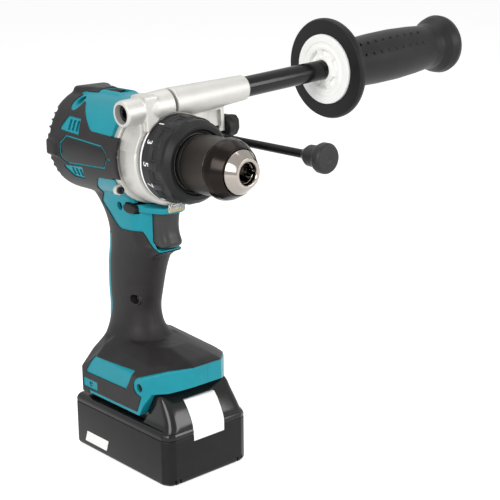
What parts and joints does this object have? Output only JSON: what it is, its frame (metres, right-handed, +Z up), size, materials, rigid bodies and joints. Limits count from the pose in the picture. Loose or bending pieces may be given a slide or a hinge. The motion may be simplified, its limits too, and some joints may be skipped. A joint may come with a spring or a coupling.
{
  "type": "cordless drill",
  "caption": "Cordless hammer driver drill with pistol grip, slide-on battery, keyless chuck, torque ring, clamp-on side handle and depth rod.",
  "frame": {"origin": "centre of the battery's bottom face, on which the tool stands", "axes": "+X forward along the spindle, +Y to the tool's left, where the side handle points, +Z up"},
  "size_m": [0.2106, 0.3384, 0.3139],
  "materials": {
    "teal_shell": "satin",
    "soft_grip": "matte",
    "side_plate": "satin",
    "steel": "satin",
    "black_screw": "satin",
    "cast_metal": "satin",
    "lens": "gloss",
    "lamp_board": "matte",
    "core_steel": "satin",
    "copper": "satin",
    "black_plastic": "satin",
    "mode_ring": "satin",
    "trigger": "satin",
    "board": "satin",
    "brass": "satin",
    "chuck_metal": "satin",
    "jaw_steel": "satin",
    "chuck_sleeve": "satin",
    "pipe": "satin",
    "rod": "satin",
    "handle_grip": "matte",
    "white_plastic": "satin",
    "rod_tip": "matte",
    "battery_case": "satin",
    "cell_wrap": "satin"
  },
  "bodies": {
    "drill_body": {"housing_right": "teal_shell", "housing_left": "teal_shell", "grip_right": "soft_grip", "grip_left": "soft_grip", "side_plates": "side_plate", "housing_screws": "steel", "gear_case": "cast_metal", "gear_case_screws": "black_screw", "led_lens": "lens", "led_board": "lamp_board", "stator": "core_steel", "stator_coils": "copper", "motor_bearings": "steel", "ring_gear": "steel", "spindle_bearing": "steel", "switch_unit": "black_plastic", "controller_board": "board", "terminal_block": "black_plastic", "hook_nuts": "brass"},
    "rotor": {"rotor": "core_steel", "motor_shaft": "steel", "fan": "black_plastic"},
    "carrier_1": {"carrier_1": "steel"},
    "planet_1a": {"planet_1a": "steel"},
    "planet_1b": {"planet_1b": "steel"},
    "planet_1c": {"planet_1c": "steel"},
    "spindle": {"spindle": "steel", "chuck_body": "chuck_metal", "chuck_screw": "steel"},
    "planet_2a": {"planet_2a": "steel"},
    "planet_2b": {"planet_2b": "steel"},
    "planet_2c": {"planet_2c": "steel"},
    "chuck_sleeve": {"chuck_sleeve": "chuck_sleeve", "jaw_nut": "steel"},
    "jaw_a": {"jaw_a": "jaw_steel"},
    "jaw_b": {"jaw_b": "jaw_steel"},
    "jaw_c": {"jaw_c": "jaw_steel"},
    "torque_ring": {"torque_ring": "black_plastic"},
    "mode_ring": {"mode_ring": "mode_ring"},
    "trigger": {"trigger": "trigger"},
    "reversing_lever": {"reversing_lever": "black_plastic"},
    "speed_lever": {"speed_lever": "black_plastic"},
    "handle_clamp": {"clamp_jaw_right": "cast_metal", "clamp_bolt": "steel"},
    "clamp_left": {"clamp_jaw_left": "cast_metal"},
    "side_grip": {"handle_pipe": "pipe", "handle_grip": "handle_grip", "handle_disc": "white_plastic"},
    "thumb_screw": {"thumb_screw": "black_plastic"},
    "depth_rod": {"depth_rod": "rod", "rod_tip": "rod_tip"},
    "battery": {"battery_lower_case": "battery_case", "battery_upper_case": "battery_case", "battery_cells": "cell_wrap", "battery_board": "board", "battery_terminals": "brass", "battery_screws": "steel", "fuel_gauge": "black_plastic"},
    "release_button": {"release_button": "white_plastic"},
    "gauge_button": {"gauge_button": "white_plastic"}
  },
  "joints": [
    {"name": "rotor_spin", "type": "hinge", "parent": "drill_body", "child": "rotor", "pos_m": [-0.05, 0, 0.229], "axis": [1, 0, 0], "continuous": true},
    {"name": "carrier_1_spin", "type": "hinge", "parent": "drill_body", "child": "carrier_1", "pos_m": [-0.015, 0, 0.229], "axis": [1, 0, 0], "continuous": true},
    {"name": "planet_1a_spin", "type": "hinge", "parent": "carrier_1", "child": "planet_1a", "pos_m": [-0.0225, 0, 0.2425], "axis": [1, 0, 0], "continuous": true},
    {"name": "planet_1b_spin", "type": "hinge", "parent": "carrier_1", "child": "planet_1b", "pos_m": [-0.0225, -0.01169, 0.22225], "axis": [1, 0, 0], "continuous": true},
    {"name": "planet_1c_spin", "type": "hinge", "parent": "carrier_1", "child": "planet_1c", "pos_m": [-0.0225, 0.01169, 0.22225], "axis": [1, 0, 0], "continuous": true},
    {"name": "spindle_spin", "type": "hinge", "parent": "drill_body", "child": "spindle", "pos_m": [0.03, 0, 0.229], "axis": [1, 0, 0], "continuous": true},
    {"name": "planet_2a_spin", "type": "hinge", "parent": "spindle", "child": "planet_2a", "pos_m": [-0.0095, 0, 0.2425], "axis": [1, 0, 0], "continuous": true},
    {"name": "planet_2b_spin", "type": "hinge", "parent": "spindle", "child": "planet_2b", "pos_m": [-0.0095, -0.01169, 0.22225], "axis": [1, 0, 0], "continuous": true},
    {"name": "planet_2c_spin", "type": "hinge", "parent": "spindle", "child": "planet_2c", "pos_m": [-0.0095, 0.01169, 0.22225], "axis": [1, 0, 0], "continuous": true},
    {"name": "sleeve_turn", "type": "hinge", "parent": "spindle", "child": "chuck_sleeve", "pos_m": [0.07, 0, 0.229], "axis": [1, 0, 0], "range_deg": [0, 2520]},
    {"name": "jaw_a_slide", "type": "slide", "parent": "spindle", "child": "jaw_a", "axis": [0.9659, 0.1294, -0.2241], "range_m": [0, 0.0236]},
    {"name": "jaw_b_slide", "type": "slide", "parent": "spindle", "child": "jaw_b", "axis": [0.9659, 0.1294, 0.2241], "range_m": [0, 0.0236]},
    {"name": "jaw_c_slide", "type": "slide", "parent": "spindle", "child": "jaw_c", "axis": [0.9659, -0.2588, 0], "range_m": [0, 0.0236]},
    {"name": "torque_ring_turn", "type": "hinge", "parent": "drill_body", "child": "torque_ring", "pos_m": [0.034, 0, 0.229], "axis": [1, 0, 0], "range_deg": [0, 300]},
    {"name": "mode_ring_turn", "type": "hinge", "parent": "drill_body", "child": "mode_ring", "pos_m": [0.048, 0, 0.229], "axis": [1, 0, 0], "range_deg": [-30, 30]},
    {"name": "trigger_pull", "type": "slide", "parent": "drill_body", "child": "trigger", "axis": [-1, 0, 0], "range_m": [0, 0.0065], "stiffness_N_per_m": 800, "springref_m": -0.004},
    {"name": "reversing_lever_slide", "type": "slide", "parent": "drill_body", "child": "reversing_lever", "axis": [0, 1, 0], "range_m": [-0.003, 0.003]},
    {"name": "speed_lever_slide", "type": "slide", "parent": "drill_body", "child": "speed_lever", "axis": [1, 0, 0], "range_m": [0, 0.008]},
    {"name": "side_handle_swing", "type": "hinge", "parent": "drill_body", "child": "handle_clamp", "pos_m": [0.0144, 0, 0.229], "axis": [1, 0, 0], "range_deg": [-10, 90]},
    {"name": "clamp_open", "type": "slide", "parent": "handle_clamp", "child": "clamp_left", "axis": [0, 0.998, 0.0628], "range_m": [0, 0.004]},
    {"name": "grip_turn", "type": "hinge", "parent": "clamp_left", "child": "side_grip", "pos_m": [0.0189, 0.14742, 0.27475], "axis": [0, 0.998, 0.0628], "range_deg": [0, 720.2]},
    {"name": "thumb_screw_turn", "type": "hinge", "parent": "clamp_left", "child": "thumb_screw", "pos_m": [0.0164, 0.04405, 0.24239], "axis": [0, 0.998, 0.0628], "range_deg": [0, 360]},
    {"name": "depth_rod_slide", "type": "slide", "parent": "clamp_left", "child": "depth_rod", "axis": [1, 0, 0], "range_m": [-0.03, 0.03]},
    {"name": "battery_slide", "type": "slide", "parent": "drill_body", "child": "battery", "axis": [1, 0, 0], "range_m": [0, 0.1]},
    {"name": "release_button_press", "type": "slide", "parent": "battery", "child": "release_button", "axis": [0.6, 0, -0.8], "range_m": [0, 0.0035], "stiffness_N_per_m": 500, "springref_m": -0.003},
    {"name": "gauge_button_press", "type": "slide", "parent": "battery", "child": "gauge_button", "axis": [1, 0, 0], "range_m": [0, 0.0006], "stiffness_N_per_m": 300, "springref_m": -0.001}
  ],
  "couplings": [
    {"joint": "carrier_1_spin", "follows": "rotor_spin", "ratio": 0.2},
    {"joint": "spindle_spin", "follows": "rotor_spin", "ratio": 0.04},
    {"joint": "planet_1a_spin", "follows": "rotor_spin", "ratio": -0.53333},
    {"joint": "planet_2a_spin", "follows": "rotor_spin", "ratio": -0.10667},
    {"joint": "planet_1b_spin", "follows": "rotor_spin", "ratio": -0.53333},
    {"joint": "planet_2b_spin", "follows": "rotor_spin", "ratio": -0.10667},
    {"joint": "planet_1c_spin", "follows": "rotor_spin", "ratio": -0.53333},
    {"joint": "planet_2c_spin", "follows": "rotor_spin", "ratio": -0.10667},
    {"joint": "jaw_a_slide", "follows": "sleeve_turn", "m_per_rad": 0.000535},
    {"joint": "jaw_b_slide", "follows": "sleeve_turn", "m_per_rad": 0.000535},
    {"joint": "jaw_c_slide", "follows": "sleeve_turn", "m_per_rad": 0.000535},
    {"joint": "grip_turn", "follows": "clamp_open", "rad_per_m": 3141.6}
  ]
}
